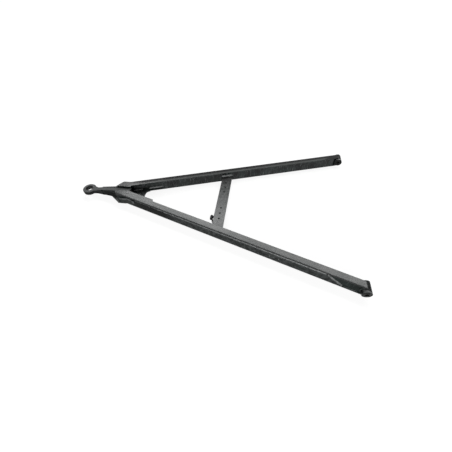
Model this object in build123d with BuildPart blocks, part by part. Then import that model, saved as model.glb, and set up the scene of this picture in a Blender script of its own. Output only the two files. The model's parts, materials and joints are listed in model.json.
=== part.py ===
"""V-shaped trailer drawbar: towing eye, two fabricated box legs, cross bar and hinge tubes.

Origin at the middle of the eye bore, +X to the rear (towards the trailer), +Z up, millimetres.
Left is the -Y side and right is the +Y side, as seen by someone facing forward.
"""
from build123d import *
from math import atan, cos, degrees, radians, sin, sqrt
import os

os.makedirs("parts", exist_ok=True)

# Overall layout
gauge_length = 2000.0
hinge_track = 1224.0
bend_x = 345.0
bend_y = 61.5

# Leg box, made of two flange plates, an outer web, an outer strip and an inner plate
leg_height = 80.0
leg_width = 48.0
flange_thickness = 6.0
web_thickness = 6.0
web_inset = 7.0
inner_plate_thickness = 6.0
flange_end_gap = 7.0
flange_edge_radius = 4.0
strip_top_margin = 17.0
strip_nose_drop = 18.0
strip_taper_start_x = 380.0
strip_end_setback = 214.0
strip_end_taper = 96.0
inner_plate_front_x = 570.0
inner_plate_gap = 10.0

# Nose, where both legs close on the shank of the eye
nose_front_x = 228.0
nose_corner_x = 268.0
nose_corner_radius = 26.0
nose_half_width = 80.0
slot_gap = 3.5
nose_front_thickness = 6.0
nose_front_setback = 5.0
cheek_thickness = 8.0
gusset_front_x = 110.0
gusset_spread = 21.5
gusset_top = 20.0
gusset_bottom = -28.0
rib_x = 300.0
rib_thickness = 8.0
ledge_end_x = 564.0
ledge_width = 16.0
plug_weld_x = 349.0
plug_weld_y = 58.0
plug_weld_length = 27.0
plug_weld_width = 13.0
plug_weld_dip = 1.5

# Towing eye forging
eye_bore = 50.0
eye_bush_wall = 4.0
eye_ring_wall = 22.0
eye_thickness = 32.0
eye_drop = 5.0
eye_edge_radius = 7.0
shank_width = 37.0
shank_edge_radius = 5.0
shank_drop = 16.0
shank_deep_x = 196.0
shank_swell_x = 104.0
shank_swell = 6.0
shank_sag = 12.0
neck_sag = 6.0
neck_width = 62.0
neck_length = 18.0

# Bottom plate under the nose and the crotch
bottom_plate_thickness = 6.0
bottom_plate_front_x = 181.0
bottom_plate_corner_x = 259.0
bottom_plate_rear_x = 440.0
bottom_plate_arm_x = 466.0
bottom_plate_setback = 12.0
crotch_radius = 34.0

# Cross bar with two rows of three holes
bar_x = 1077.0
bar_width = 79.0
bar_thickness = 16.0
bar_top_drop = 31.0
bar_hole = 14.0
bar_hole_pitch = 52.0
bar_hole_gap = 175.0
bar_hole_count = 3

# Hinge tubes with their bushes and turning sleeves
tube_outer = 60.3
tube_length = 78.0
sleeve_bore = 24.0
sleeve_wall = 7.0
sleeve_overhang = 2.0
sleeve_clearance = 0.05
bush_wall = 4.0
grease_hole = 6.0
nipple_hex = 9.0
nipple_hex_height = 4.0
nipple_length = 11.0
nipple_angle = 45.0

# Bolts that hold the outer strips at the nose
strip_bolt = 16.0
strip_bolt_hex = 24.0
strip_bolt_head = 8.0
strip_bolt_x = 411.0
strip_bolt_z = 13.0
strip_nut_height = 13.0
washer_thickness = 3.0
washer_width = 30.0
bolt_clearance = 0.5
bolt_tip = 3.0

# Swinging hook on the front edge of the cross bar
hook_y = -180.0
hook_pivot_reach = 15.0
hook_thickness = 8.0
hook_bolt = 12.0
hook_bolt_hex = 18.0
hook_bolt_head = 7.5
hook_nut_height = 10.0
hook_boss_radius = 11.0
hook_drop = 42.0
hook_mouth_radius = 8.0
hook_band = 8.0
hook_side_gap = 0.4
hook_hole_clearance = 0.08

# Values worked out from the sizes above
half_height = leg_height / 2
half_width = leg_width / 2
half_track = hinge_track / 2
inside_top = half_height - flange_thickness
slope = (half_track - bend_y) / (gauge_length - bend_x)
leg_angle = atan(slope)
flange_end_x = gauge_length - flange_end_gap
strip_end_x = gauge_length - strip_end_setback
inner_plate_rear_x = gauge_length - tube_outer / 2 - inner_plate_gap
slot_half = shank_width / 2 + slot_gap
nose_lean = (nose_corner_x - nose_front_x) / (nose_half_width - slot_half)
nose_back = nose_front_setback + nose_front_thickness
sleeve_outer = sleeve_bore + 2 * sleeve_wall
bush_inner = sleeve_outer + 2 * sleeve_clearance
bush_outer = bush_inner + 2 * bush_wall
strip_top = half_height - strip_top_margin
web_outer_offset = half_width - web_inset
web_inner_offset = web_outer_offset - web_thickness
bar_top = half_height - bar_top_drop
strip_grip = web_inset + web_thickness
sides = (("left", -1), ("right", 1))


def leg_y(x, offset):
    """Distance from the middle plane to a line beside the leg, offset outwards."""
    return bend_y + (x - bend_x) * slope + offset / cos(leg_angle)


def nose_y(offset):
    """The same line along the nose, where it runs parallel to the middle plane."""
    return nose_half_width - half_width + offset


def corner_x(offset):
    """Where the nose line and the leg line of one offset meet."""
    return bend_x + (nose_y(offset) - bend_y - offset / cos(leg_angle)) / slope


def front_x(y, setback):
    """Place on a line parallel to the nose's slanted front edge, set back from it."""
    return nose_front_x + (y - slot_half) * nose_lean + setback * sqrt(1 + nose_lean**2)


def bent_band(side, end_x, outer, inner):
    """Outline of an upright plate behind the nose front that follows nose and leg between two offsets."""
    return [
        (front_x(nose_y(outer), nose_back), side * nose_y(outer)),
        (corner_x(outer), side * nose_y(outer)),
        (end_x, side * leg_y(end_x, outer)),
        (end_x, side * leg_y(end_x, inner)),
        (corner_x(inner), side * nose_y(inner)),
        (front_x(nose_y(inner), nose_back), side * nose_y(inner)),
    ]


def flange_outline(side, ledge):
    """Outline of a flange plate with its widened nose."""
    inner = -half_width
    outline = [
        (nose_front_x, side * slot_half),
        (nose_corner_x, side * nose_half_width),
        (corner_x(half_width), side * nose_half_width),
        (flange_end_x, side * leg_y(flange_end_x, half_width)),
        (flange_end_x, side * leg_y(flange_end_x, inner)),
    ]
    if ledge:
        outline.append((ledge_end_x, side * leg_y(ledge_end_x, inner)))
        outline.append((ledge_end_x, side * (leg_y(ledge_end_x, inner) - ledge_width)))
    else:
        outline.append((bend_x, side * leg_y(bend_x, inner)))
    outline.append((bend_x, side * slot_half))
    return outline


def hinge_plane(y):
    """Upright plane across the hinge axis, facing +Y."""
    return Plane(origin=(gauge_length, y, 0), x_dir=(1, 0, 0), z_dir=(0, 1, 0))


def nipple_seat(side, radius):
    """Plane square to the grease nipple's axis, at a radius from the hinge axis."""
    out = (cos(radians(nipple_angle)), 0, -sin(radians(nipple_angle)))
    return Plane(origin=(gauge_length, side * half_track, 0), x_dir=(0, 1, 0), z_dir=out).offset(radius)


def side_plane(side, x, z, offset):
    """Plane on the side of a leg, facing outwards from it."""
    out = (-sin(leg_angle), side * cos(leg_angle), 0)
    return Plane(origin=(x, side * leg_y(x, offset), z), x_dir=(0, 0, 1), z_dir=out)


def save(piece, name):
    """Label a finished piece and write it under its own name."""
    piece.part.label = name
    export_step(piece.part, f"parts/{name}.step")


# Towing eye: rounded ring with a forged shank that swells and deepens towards the nose
eye_ring_radius = eye_bore / 2 + eye_bush_wall + eye_ring_wall
eye_seat_radius = eye_bore / 2 + eye_bush_wall
eye_top = eye_thickness / 2 - eye_drop
eye_bottom = -eye_thickness / 2 - eye_drop
shank_top = half_height - shank_drop
shank_stations = [
    (eye_seat_radius, eye_bottom, eye_top, neck_width),
    (eye_ring_radius, eye_bottom, eye_top, (neck_width + shank_width) / 2),
    (eye_ring_radius + neck_length, eye_bottom - neck_sag, eye_top, shank_width),
    (shank_swell_x, eye_bottom - shank_sag, eye_top + shank_swell, shank_width),
    (shank_deep_x, -half_height, shank_top, shank_width),
    (bend_x, -half_height, shank_top, shank_width),
]
with BuildPart() as towing_eye:
    for x, bottom, top, width in shank_stations:
        middle = (bottom + top) / 2
        with BuildSketch(Plane(origin=(x, 0, middle), x_dir=(0, 1, 0), z_dir=(1, 0, 0))):
            RectangleRounded(width, top - bottom, shank_edge_radius)
    loft(ruled=True)
    with BuildSketch(Plane.XZ) as section:
        with Locations((eye_ring_radius / 2, -eye_drop)):
            Rectangle(eye_ring_radius, eye_thickness)
        fillet(section.vertices().group_by(Axis.X)[-1], eye_edge_radius)
    revolve(axis=Axis.Z)
    with Locations((0, 0, 0)):
        Hole(eye_seat_radius)
save(towing_eye, "towing_eye")

with BuildPart() as eye_bush:
    with BuildSketch(Plane.XY.offset(eye_bottom)):
        Circle(eye_seat_radius)
        Circle(eye_bore / 2, mode=Mode.SUBTRACT)
    extrude(amount=eye_thickness)
    bore_rims = eye_bush.edges().filter_by(GeomType.CIRCLE).sort_by(SortBy.RADIUS)[:2]
    chamfer(bore_rims, 1)
save(eye_bush, "eye_bush")

# Bottom plate: one flame-cut plate under both flanges, with a hollow rear edge
with BuildPart() as bottom_plate:
    with BuildSketch(Plane.XY.offset(-half_height)) as outline:
        arm = half_width - bottom_plate_setback
        rear_y = leg_y(bottom_plate_rear_x, -half_width)
        half = [
            (bottom_plate_front_x, shank_width / 2),
            (bottom_plate_corner_x, nose_half_width),
            (corner_x(half_width), nose_half_width),
            (corner_x(half_width), leg_y(corner_x(half_width), arm)),
            (bottom_plate_arm_x, leg_y(bottom_plate_arm_x, arm)),
            (bottom_plate_arm_x, leg_y(bottom_plate_arm_x, -half_width)),
            (bottom_plate_rear_x, rear_y),
        ]
        Polygon(*half, *[(x, -y) for x, y in reversed(half)], align=None)
        crotch = outline.vertices().filter_by_position(
            Axis.X, bottom_plate_rear_x - 0.1, bottom_plate_rear_x + 0.1
        )
        fillet(crotch, crotch_radius)
    extrude(amount=-bottom_plate_thickness)
save(bottom_plate, "bottom_plate")

# Cross bar between the inner faces of the legs
bar_front_x = bar_x - bar_width / 2
bar_rear_x = bar_x + bar_width / 2
with BuildPart() as cross_bar:
    with BuildSketch(Plane.XY.offset(bar_top)):
        Polygon(
            (bar_front_x, leg_y(bar_front_x, -half_width)),
            (bar_rear_x, leg_y(bar_rear_x, -half_width)),
            (bar_rear_x, -leg_y(bar_rear_x, -half_width)),
            (bar_front_x, -leg_y(bar_front_x, -half_width)),
            align=None,
        )
        row = (bar_hole_count - 1) * bar_hole_pitch
        for side_name, side in sides:
            with Locations((bar_x, side * (bar_hole_gap + row) / 2)):
                with GridLocations(1, bar_hole_pitch, 1, bar_hole_count):
                    Circle(bar_hole / 2, mode=Mode.SUBTRACT)
    extrude(amount=-bar_thickness)
save(cross_bar, "cross_bar")

# Legs, the same on both sides but for the ledge and the plug weld of the left one
for side_name, side in sides:
    is_left = side < 0
    tube_start = side * half_track - tube_length / 2

    with BuildPart() as top_flange:
        with BuildSketch(Plane.XY.offset(inside_top)) as outline:
            Polygon(*flange_outline(side, is_left), align=None)
            corner = outline.vertices().sort_by_distance(
                (nose_corner_x, side * nose_half_width, inside_top)
            )[0]
            fillet(corner, nose_corner_radius)
        extrude(amount=flange_thickness)
        outer_edges = top_flange.edges().group_by(Axis.Z)[-1].filter_by(
            lambda edge: side * edge.center().Y > leg_y(edge.center().X, web_inner_offset)
        )
        fillet(outer_edges, flange_edge_radius)
        if is_left:
            with BuildSketch(Plane.XY.offset(half_height)):
                with Locations(Location((plug_weld_x, side * plug_weld_y, 0), side * degrees(leg_angle))):
                    SlotOverall(plug_weld_length, plug_weld_width)
            extrude(amount=-plug_weld_dip, mode=Mode.SUBTRACT)
    save(top_flange, f"{side_name}_top_flange")

    with BuildPart() as bottom_flange:
        with BuildSketch(Plane.XY.offset(-half_height)) as outline:
            Polygon(*flange_outline(side, False), align=None)
            corner = outline.vertices().sort_by_distance(
                (nose_corner_x, side * nose_half_width, -half_height)
            )[0]
            fillet(corner, nose_corner_radius)
        extrude(amount=flange_thickness)
    save(bottom_flange, f"{side_name}_bottom_flange")

    bolt_face = side_plane(side, strip_bolt_x, strip_bolt_z, half_width)

    with BuildPart() as outer_web:
        with BuildSketch(Plane.XY.offset(-inside_top)):
            Polygon(
                *bent_band(side, flange_end_x, web_outer_offset, web_inner_offset),
                align=None,
            )
        extrude(amount=2 * inside_top)
        with BuildSketch(hinge_plane(tube_start)):
            Circle(tube_outer / 2)
        extrude(amount=tube_length, mode=Mode.SUBTRACT)
        with BuildSketch(bolt_face):
            Circle(strip_bolt / 2 + bolt_clearance)
        extrude(amount=-strip_grip, mode=Mode.SUBTRACT)
    save(outer_web, f"{side_name}_outer_web")

    with BuildPart() as outer_strip:
        with BuildSketch(Plane.XY.offset(-inside_top)):
            Polygon(
                *bent_band(side, strip_end_x + strip_end_taper, half_width, web_outer_offset),
                align=None,
            )
        extrude(amount=strip_top + inside_top)
        with BuildSketch(Plane.XZ):
            Polygon(
                (strip_end_x, strip_top),
                (strip_end_x + strip_end_taper, strip_top),
                (strip_end_x + strip_end_taper, -inside_top),
                align=None,
            )
            Polygon(
                (nose_corner_x, strip_top),
                (nose_corner_x, strip_top - strip_nose_drop),
                (strip_taper_start_x, strip_top),
                align=None,
            )
        extrude(amount=hinge_track, both=True, mode=Mode.SUBTRACT)
        with BuildSketch(bolt_face):
            Circle(strip_bolt / 2 + bolt_clearance)
        extrude(amount=-strip_grip, mode=Mode.SUBTRACT)
    save(outer_strip, f"{side_name}_outer_strip")

    with BuildPart() as inner_plate:
        with BuildSketch(Plane.XY.offset(-inside_top)):
            face = -half_width
            back = inner_plate_thickness - half_width
            Polygon(
                (inner_plate_front_x, side * leg_y(inner_plate_front_x, face)),
                (inner_plate_rear_x, side * leg_y(inner_plate_rear_x, face)),
                (inner_plate_rear_x, side * leg_y(inner_plate_rear_x, back)),
                (inner_plate_front_x, side * leg_y(inner_plate_front_x, back)),
                align=None,
            )
        extrude(amount=2 * inside_top)
    save(inner_plate, f"{side_name}_inner_plate")

    shank_side = shank_width / 2
    cheek_side = shank_width / 2 + cheek_thickness
    front_side = nose_y(web_outer_offset)
    with BuildPart() as nose_front:
        with BuildSketch(Plane.XY.offset(-inside_top)):
            Polygon(
                (front_x(shank_side, nose_front_setback), side * shank_side),
                (front_x(front_side, nose_front_setback), side * front_side),
                (front_x(front_side, nose_back), side * front_side),
                (front_x(shank_side, nose_back), side * shank_side),
                align=None,
            )
        extrude(amount=2 * inside_top)
    save(nose_front, f"{side_name}_nose_front")

    gusset_side = shank_side + gusset_spread
    with BuildPart() as shank_gusset:
        with BuildSketch(Plane.XY.offset(gusset_bottom)):
            Polygon(
                (gusset_front_x, side * shank_side),
                (front_x(shank_side, nose_front_setback), side * shank_side),
                (front_x(gusset_side, nose_front_setback), side * gusset_side),
                align=None,
            )
        extrude(amount=gusset_top - gusset_bottom)
    save(shank_gusset, f"{side_name}_shank_gusset")

    with BuildPart() as cheek:
        with BuildSketch(Plane.XY.offset(-inside_top)):
            Polygon(
                (front_x(shank_side, nose_back), side * shank_side),
                (bend_x, side * shank_side),
                (bend_x, side * cheek_side),
                (front_x(cheek_side, nose_back), side * cheek_side),
                align=None,
            )
        extrude(amount=half_height - shank_drop + inside_top)
    save(cheek, f"{side_name}_cheek")

    with BuildPart() as nose_rib:
        with BuildSketch(Plane.XY.offset(-inside_top)):
            Polygon(
                (rib_x - rib_thickness / 2, side * cheek_side),
                (rib_x + rib_thickness / 2, side * cheek_side),
                (rib_x + rib_thickness / 2, side * nose_y(web_inner_offset)),
                (rib_x - rib_thickness / 2, side * nose_y(web_inner_offset)),
                align=None,
            )
        extrude(amount=2 * inside_top)
    save(nose_rib, f"{side_name}_nose_rib")

    with BuildPart() as pivot_tube:
        with BuildSketch(hinge_plane(tube_start)):
            Circle(tube_outer / 2)
            Circle(bush_outer / 2, mode=Mode.SUBTRACT)
        extrude(amount=tube_length)
        with BuildSketch(nipple_seat(side, 0)):
            Circle(grease_hole / 2)
        extrude(amount=tube_outer, mode=Mode.SUBTRACT)
    save(pivot_tube, f"{side_name}_pivot_tube")

    with BuildPart() as pivot_bush:
        with BuildSketch(hinge_plane(tube_start)):
            Circle(bush_outer / 2)
            Circle(bush_inner / 2, mode=Mode.SUBTRACT)
        extrude(amount=tube_length)
        with BuildSketch(nipple_seat(side, 0)):
            Circle(grease_hole / 4)
        extrude(amount=bush_outer, mode=Mode.SUBTRACT)
    save(pivot_bush, f"{side_name}_pivot_bush")

    with BuildPart() as pivot_sleeve:
        with BuildSketch(hinge_plane(tube_start - sleeve_overhang)):
            Circle(sleeve_outer / 2)
            Circle(sleeve_bore / 2, mode=Mode.SUBTRACT)
        extrude(amount=tube_length + 2 * sleeve_overhang)
        chamfer(pivot_sleeve.edges().filter_by(GeomType.CIRCLE), 0.8)
    save(pivot_sleeve, f"{side_name}_pivot_sleeve")

# Grease nipples, one in each hinge tube, on the rear lower side
with BuildPart() as grease_nipples:
    for side_name, side in sides:
        with BuildSketch(nipple_seat(side, bush_outer / 2)):
            Circle(grease_hole / 2)
        extrude(amount=(tube_outer - bush_outer) / 2)
        with BuildSketch(nipple_seat(side, tube_outer / 2)):
            RegularPolygon(nipple_hex / 2, 6, major_radius=False)
        extrude(amount=nipple_hex_height)
        with BuildSketch(nipple_seat(side, tube_outer / 2 + nipple_hex_height)):
            Circle(grease_hole / 2)
        extrude(amount=nipple_length - nipple_hex_height, taper=8)
save(grease_nipples, "grease_nipples")

# Strip bolts, washers and nuts, one set on each side of the nose
with BuildPart() as strip_bolts:
    for side_name, side in sides:
        head = side_plane(side, strip_bolt_x, strip_bolt_z, half_width)
        with BuildSketch(head):
            RegularPolygon(strip_bolt_hex / 2, 6, major_radius=False)
        extrude(amount=strip_bolt_head)
        with BuildSketch(head):
            Circle(strip_bolt / 2)
        extrude(amount=-(strip_grip + washer_thickness + strip_nut_height + bolt_tip))
save(strip_bolts, "strip_bolts")

with BuildPart() as strip_washers:
    for side_name, side in sides:
        with BuildSketch(side_plane(side, strip_bolt_x, strip_bolt_z, half_width).offset(-strip_grip)):
            Circle(washer_width / 2)
            Circle(strip_bolt / 2 + bolt_clearance, mode=Mode.SUBTRACT)
        extrude(amount=-washer_thickness)
save(strip_washers, "strip_washers")

with BuildPart() as strip_nuts:
    for side_name, side in sides:
        seat = side_plane(side, strip_bolt_x, strip_bolt_z, half_width).offset(-strip_grip - washer_thickness)
        with BuildSketch(seat):
            RegularPolygon(strip_bolt_hex / 2, 6, major_radius=False)
            Circle(strip_bolt / 2, mode=Mode.SUBTRACT)
        extrude(amount=-strip_nut_height)
save(strip_nuts, "strip_nuts")

# Hook, its lug on the cross bar and its bolt
pivot_x = bar_front_x - hook_pivot_reach
pivot_z = bar_top - bar_thickness / 2


def hook_plane(y):
    """Upright plane across the hook bolt, facing +Y, with its y direction pointing down."""
    return Plane(origin=(pivot_x, y, pivot_z), x_dir=(1, 0, 0), z_dir=(0, 1, 0))


with BuildPart() as hook_lug:
    with BuildSketch(hook_plane(hook_y)):
        Circle(hook_boss_radius)
        with Locations((hook_pivot_reach / 2, 0)):
            Rectangle(hook_pivot_reach, bar_thickness)
        Circle(hook_bolt / 2, mode=Mode.SUBTRACT)
    extrude(amount=hook_thickness)
save(hook_lug, "hook_lug")

curl_radius = hook_mouth_radius + hook_band
with BuildPart() as storage_hook:
    with BuildSketch(hook_plane(hook_y - hook_side_gap)):
        with Locations((curl_radius, hook_drop)):
            Circle(curl_radius)
            Circle(hook_mouth_radius, mode=Mode.SUBTRACT)
        with Locations((curl_radius, hook_drop - curl_radius / 2)):
            Rectangle(2 * curl_radius, curl_radius, mode=Mode.SUBTRACT)
        with Locations((hook_band / 2, hook_drop / 2)):
            Rectangle(hook_band, hook_drop)
        Circle(hook_boss_radius)
        Circle(hook_bolt / 2 + hook_hole_clearance, mode=Mode.SUBTRACT)
    extrude(amount=-hook_thickness)
save(storage_hook, "storage_hook")

nut_y = hook_y - 2 * hook_side_gap - hook_thickness
with BuildPart() as hook_bolt_piece:
    with BuildSketch(hook_plane(hook_y + hook_thickness)):
        RegularPolygon(hook_bolt_hex / 2, 6, major_radius=False)
    extrude(amount=hook_bolt_head)
    with BuildSketch(hook_plane(hook_y + hook_thickness)):
        Circle(hook_bolt / 2)
    extrude(amount=nut_y - hook_nut_height - bolt_tip - hook_y - hook_thickness)
save(hook_bolt_piece, "hook_bolt")

with BuildPart() as hook_nut:
    with BuildSketch(hook_plane(nut_y)):
        RegularPolygon(hook_bolt_hex / 2, 6, major_radius=False)
        Circle(hook_bolt / 2, mode=Mode.SUBTRACT)
    extrude(amount=-hook_nut_height)
save(hook_nut, "hook_nut")
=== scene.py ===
import json
import math
import bpy
from mathutils import Matrix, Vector
import numpy as np


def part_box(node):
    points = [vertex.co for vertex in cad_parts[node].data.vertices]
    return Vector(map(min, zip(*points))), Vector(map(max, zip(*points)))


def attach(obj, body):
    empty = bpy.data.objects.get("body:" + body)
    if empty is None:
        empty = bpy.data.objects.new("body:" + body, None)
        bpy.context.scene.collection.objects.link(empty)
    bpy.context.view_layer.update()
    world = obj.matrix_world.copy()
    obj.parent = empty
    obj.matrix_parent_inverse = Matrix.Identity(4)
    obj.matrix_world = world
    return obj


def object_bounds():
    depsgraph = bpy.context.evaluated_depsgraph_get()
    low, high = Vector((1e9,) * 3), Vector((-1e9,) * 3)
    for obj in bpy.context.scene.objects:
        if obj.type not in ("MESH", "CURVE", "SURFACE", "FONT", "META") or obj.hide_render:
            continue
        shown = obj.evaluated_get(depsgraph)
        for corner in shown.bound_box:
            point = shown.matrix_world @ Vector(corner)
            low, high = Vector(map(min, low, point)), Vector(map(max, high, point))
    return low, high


# Trailer drawbar: its enamel, bare steel and weld beads, and the studio round it
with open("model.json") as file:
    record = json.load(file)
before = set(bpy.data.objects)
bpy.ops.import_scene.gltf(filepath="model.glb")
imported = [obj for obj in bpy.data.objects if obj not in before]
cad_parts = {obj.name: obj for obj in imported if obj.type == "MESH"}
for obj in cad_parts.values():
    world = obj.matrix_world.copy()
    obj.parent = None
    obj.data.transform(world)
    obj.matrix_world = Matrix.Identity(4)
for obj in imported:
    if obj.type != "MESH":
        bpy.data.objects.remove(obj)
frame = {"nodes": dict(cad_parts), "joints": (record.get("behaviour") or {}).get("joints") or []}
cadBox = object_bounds()
print("frame loaded:", len(frame["nodes"]), "nodes")

mm = 0.001
up = np.array([0.0, 0.0, 1.0])
sideSigns = {"left": -1, "right": 1}
levelSigns = {"top": 1, "under": -1}

# The lines of leg and nose that the welds and the wear follow, in metres. What the right leg's
# flange and hinge can tell is read from the frame, and the left leg is its mirror image.
legSpec = {
    "bendX": 0.345, "bendY": 0.0615, "halfWidth": 0.024, "webInset": 0.007,
    "noseCornerX": 0.268, "noseHalfWidth": 0.080, "frontSetback": 0.005,
}
hingeX, hingeY, _ = next(j for j in frame["joints"] if j["name"] == "right_sleeve_turn")["pos_m"]
flangeLow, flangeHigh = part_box("right_top_flange")
noseFrontX, slotHalf, insideTop = flangeLow
flangeEndX, halfHeight = flangeHigh[0], flangeHigh[2]
plate = halfHeight - insideTop
legSlope = (hingeY - legSpec["bendY"]) / (hingeX - legSpec["bendX"])
legAngle = math.atan(legSlope)
halfWidth = legSpec["halfWidth"]
webFace = halfWidth - legSpec["webInset"]
noseLean = (legSpec["noseCornerX"] - noseFrontX) / (legSpec["noseHalfWidth"] - slotHalf)


def legPoints(side, x, offset, z):
    # points beside the leg: y grows along the leg's slope, and the offset is square to it
    x, offset, z = np.broadcast_arrays(np.asarray(x, float), offset, z)
    y = legSpec["bendY"] + (x - legSpec["bendX"]) * legSlope + offset / math.cos(legAngle)
    return np.stack([x, side * y, z], -1)


def nosePoints(side, y, z):
    # points on the front plate's face: x grows with y by the nose's lean, plus the setback
    y, z = np.broadcast_arrays(np.asarray(y, float), np.asarray(z, float))
    back = legSpec["frontSetback"] * math.hypot(1, noseLean)
    x = noseFrontX + (y - slotHalf) * noseLean + back
    return np.stack([x, side * y, z], -1)


def legOutward(side):
    # level unit vector square to the leg, away from the middle plane
    return np.array([-math.sin(legAngle), side * math.cos(legAngle), 0.0])


def legAlong(side):
    # level unit vector along the leg, to the rear
    return np.array([math.cos(legAngle), side * math.sin(legAngle), 0.0])


def hexToLinear(code):
    # each sRGB channel c becomes ((c + 0.055) / 1.055) ** 2.4, or c / 12.92 near black
    channels = np.array([int(code[i:i + 2], 16) for i in (1, 3, 5)]) / 255
    linear = np.where(channels <= 0.04045, channels / 12.92, ((channels + 0.055) / 1.055) ** 2.4)
    return (*linear.tolist(), 1.0)


def addNode(tree, kind, settings=None, inputs=None, take=None):
    # one node with its settings; an input is a plain value or the socket that feeds it, and
    # what comes back is the named output, or else the first one that the settings leave open
    node = tree.nodes.new(kind)
    for key, value in (settings or {}).items():
        setattr(node, key, value)
    for key, value in (inputs or {}).items():
        if isinstance(value, bpy.types.NodeSocket):
            tree.links.new(value, node.inputs[key])
        else:
            node.inputs[key].default_value = value
    if take is not None:
        return node.outputs[take]
    return next((socket for socket in node.outputs if socket.enabled), None)


# settings that many nodes share, and the sockets of a colour mix
smooth = {"interpolation_type": "SMOOTHSTEP"}
colourMix = {"data_type": "RGBA"}
mixShare, mixUnder, mixOver = 0, 6, 7
times, minus, most = {"operation": "MULTIPLY"}, {"operation": "SUBTRACT"}, {"operation": "MAXIMUM"}
timesPlus = {"operation": "MULTIPLY_ADD"}
dotProduct, length = {"operation": "DOT_PRODUCT"}, {"operation": "LENGTH"}
edgeSamples = {"samples": 6}
falling = {"To Min": 1.0, "To Max": 0.0}
edgeStep = {"From Min": 0.90, "From Max": 0.995, **falling}


def startMaterial(name):
    # an empty node tree, and the object's own coordinates in metres
    material = bpy.data.materials.new(name)
    material.use_nodes = True
    tree = material.node_tree
    tree.nodes.clear()
    return material, tree, addNode(tree, "ShaderNodeTexCoord", take="Object")


def finishMaterial(tree, inputs):
    # one shader with all its inputs, joined to the tree's output
    surface = addNode(tree, "ShaderNodeBsdfPrincipled", inputs=inputs)
    addNode(tree, "ShaderNodeOutputMaterial", inputs={"Surface": surface})


def layColours(tree, code, layers):
    # each layer covers what is below by its mask: (1 - mask) * below + mask * its own colour
    colour = hexToLinear(code)
    for mask, layerCode in layers:
        colour = addNode(tree, "ShaderNodeMix", colourMix, {
            mixShare: mask, mixUnder: colour, mixOver: hexToLinear(layerCode)})
    return colour


def streaks(tree, coords, spec):
    # noise of one cell to lineMm across and lineStretch times that along, in coordinates turned
    # by the leg's angle
    across = 1 / (spec["lineMm"] * mm)
    along = across / spec["lineStretch"]
    turned = addNode(tree, "ShaderNodeMapping", inputs={
        "Vector": coords, "Rotation": (0, 0, spec["turn"])})
    squeezed = addNode(tree, "ShaderNodeMapping", inputs={
        "Vector": turned, "Scale": (across, along, along)})
    return addNode(tree, "ShaderNodeTexNoise", inputs={"Vector": squeezed, **paintNoise["line"]})


def edgeMask(tree, radius):
    # the dot product of the bevelled normal and the flat one falls below 1 near an edge, and
    # the mask is a falling smooth step of it; the bevelled normal comes back as well
    bevelled = addNode(tree, "ShaderNodeBevel", edgeSamples, {"Radius": radius})
    flat = addNode(tree, "ShaderNodeNewGeometry", take="True Normal")
    agreement = addNode(tree, "ShaderNodeVectorMath", dotProduct, {0: bevelled, 1: flat})
    mask = addNode(tree, "ShaderNodeMapRange", smooth, {"Value": agreement, **edgeStep})
    return mask, bevelled


def lyingMask(tree, step):
    # a smooth step of how far the surface's normal points up
    facing = addNode(tree, "ShaderNodeNewGeometry", take="Normal")
    upward = addNode(tree, "ShaderNodeSeparateXYZ", inputs={"Vector": facing}, take="Z")
    return addNode(tree, "ShaderNodeMapRange", smooth, {"Value": upward, **step})


def legPlace(tree, coords, side):
    # place on the leg in mm: x, z, and the offset, which is the dot product of the vector from
    # the leg's bend with its outward direction
    bend = legPoints(side, legSpec["bendX"], 0.0, 0.0).tolist()
    outward = (legOutward(side) / mm).tolist()
    fromBend = addNode(tree, "ShaderNodeVectorMath", minus, {0: coords, 1: bend})
    offset = addNode(tree, "ShaderNodeVectorMath", dotProduct, {0: fromBend, 1: outward})
    scaled = addNode(tree, "ShaderNodeVectorMath", times, {0: coords, 1: (1 / mm, 1 / mm, 1 / mm)})
    split = addNode(tree, "ShaderNodeSeparateXYZ", inputs={"Vector": scaled}).node
    return {"x": split.outputs["X"], "z": split.outputs["Z"], "offset": offset}


def patchMask(tree, place, wobble, patch):
    # for each direction that the patch names, a smooth rise at its first value times a smooth
    # fall at its last, in mm, both pushed to and fro by the wobble noise; all are multiplied
    mask = 1.0
    middle, soft = patch["wander"] / 2, patch["soft"]
    for direction, ends in patch["range"].items():
        pushed = addNode(tree, "ShaderNodeMath", timesPlus, {
            0: wobble, 1: patch["wander"], 2: place[direction]})
        for end, way in zip(ends, ({}, falling)):
            step = addNode(tree, "ShaderNodeMapRange", smooth, {
                "Value": pushed, "From Min": end + middle - soft, "From Max": end + middle + soft, **way})
            mask = addNode(tree, "ShaderNodeMath", times, {0: mask, 1: step})
    return mask


def nickMask(tree, coords, grain, spec):
    # the few cells of a cell pattern whose random value passes nickFrom, each a spot that ends
    # where the distance from its middle, plus a share of the grain, passes the step
    cells = addNode(tree, "ShaderNodeTexVoronoi", inputs={
        "Vector": coords, "Scale": 1 / (spec["nickMm"] * mm), "Randomness": 1.0}).node
    picked = addNode(tree, "ShaderNodeSeparateColor", inputs={"Color": cells.outputs["Color"]})
    chosen = addNode(tree, "ShaderNodeMapRange", smooth, {
        "Value": picked, "From Min": spec["nickFrom"], "From Max": spec["nickFrom"] + spec["nickStep"]})
    ragged = addNode(tree, "ShaderNodeMath", timesPlus, {
        0: grain, 1: spec["nickRagged"], 2: cells.outputs["Distance"]})
    inside = addNode(tree, "ShaderNodeMapRange", smooth, {"Value": ragged, **paintSteps["inside"]})
    return addNode(tree, "ShaderNodeMath", times, {0: inside, 1: chosen})


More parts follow.
